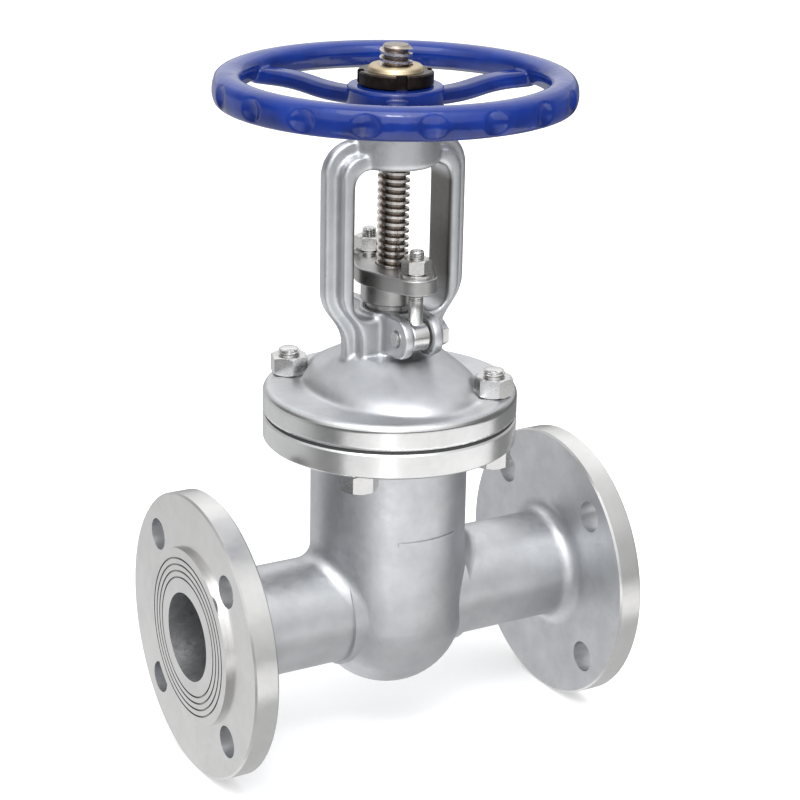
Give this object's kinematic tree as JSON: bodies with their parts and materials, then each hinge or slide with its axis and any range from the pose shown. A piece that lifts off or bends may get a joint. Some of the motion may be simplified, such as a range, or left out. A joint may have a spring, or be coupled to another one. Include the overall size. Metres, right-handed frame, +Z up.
{
  "type": "gate valve",
  "caption": "Flanged gate valve with an outside screw and yoke: turning the handwheel raises the threaded stem and lifts a wedge clear of the bore.",
  "frame": {"origin": "where the flow bore's axis meets the stem's axis", "axes": "+X along the flow bore towards the outlet flange, +Z up along the stem towards the handwheel, +Y across"},
  "size_m": [0.25, 0.195, 0.3978],
  "materials": {
    "cast_stainless": "bead-blasted cast stainless steel with turned faces, satin",
    "turned_stainless": "turned stainless steel, bright with fine lathe marks",
    "bright_fasteners": "bright stainless fasteners",
    "graphite": "matt black compressed graphite",
    "brass": "machined aluminium bronze or brass",
    "blue_enamel": "thick glossy blue enamel on cast iron",
    "black_steel": "black oxide steel, oily semi-gloss"
  },
  "bodies": {
    "valve_casing": {"valve_body": "cast_stainless", "seat_ring_inlet": "turned_stainless", "seat_ring_outlet": "turned_stainless", "bonnet_gasket": "graphite", "bonnet_and_yoke": "cast_stainless", "bonnet_studs": "bright_fasteners", "bonnet_upper_nuts": "bright_fasteners", "bonnet_lower_nuts": "bright_fasteners", "backseat_bush": "turned_stainless", "packing_rings": "graphite", "gland_follower": "turned_stainless", "gland_flange": "cast_stainless", "gland_washers": "bright_fasteners", "gland_nuts": "bright_fasteners", "eye_bolt_front": "bright_fasteners", "eye_bolt_back": "bright_fasteners", "eye_bolt_pins": "bright_fasteners", "thrust_washer_lower": "turned_stainless", "thrust_washer_upper": "turned_stainless"},
    "handwheel_set": {"handwheel": "blue_enamel", "stem_nut": "brass", "wheel_key": "black_steel", "lock_nut": "black_steel"},
    "stem_set": {"stem": "turned_stainless", "wedge": "cast_stainless"}
  },
  "joints": [
    {"name": "handwheel_turn", "type": "hinge", "parent": "valve_casing", "child": "handwheel_set", "pos_m": [0, 0, 0.27], "axis": [0, 0, 1], "range_deg": [0, 5040]},
    {"name": "stem_lift", "type": "slide", "parent": "valve_casing", "child": "stem_set", "axis": [0, 0, 1], "range_m": [0, 0.056]}
  ],
  "couplings": [
    {"joint": "stem_lift", "follows": "handwheel_turn", "m_per_rad": 0.00063662}
  ]
}
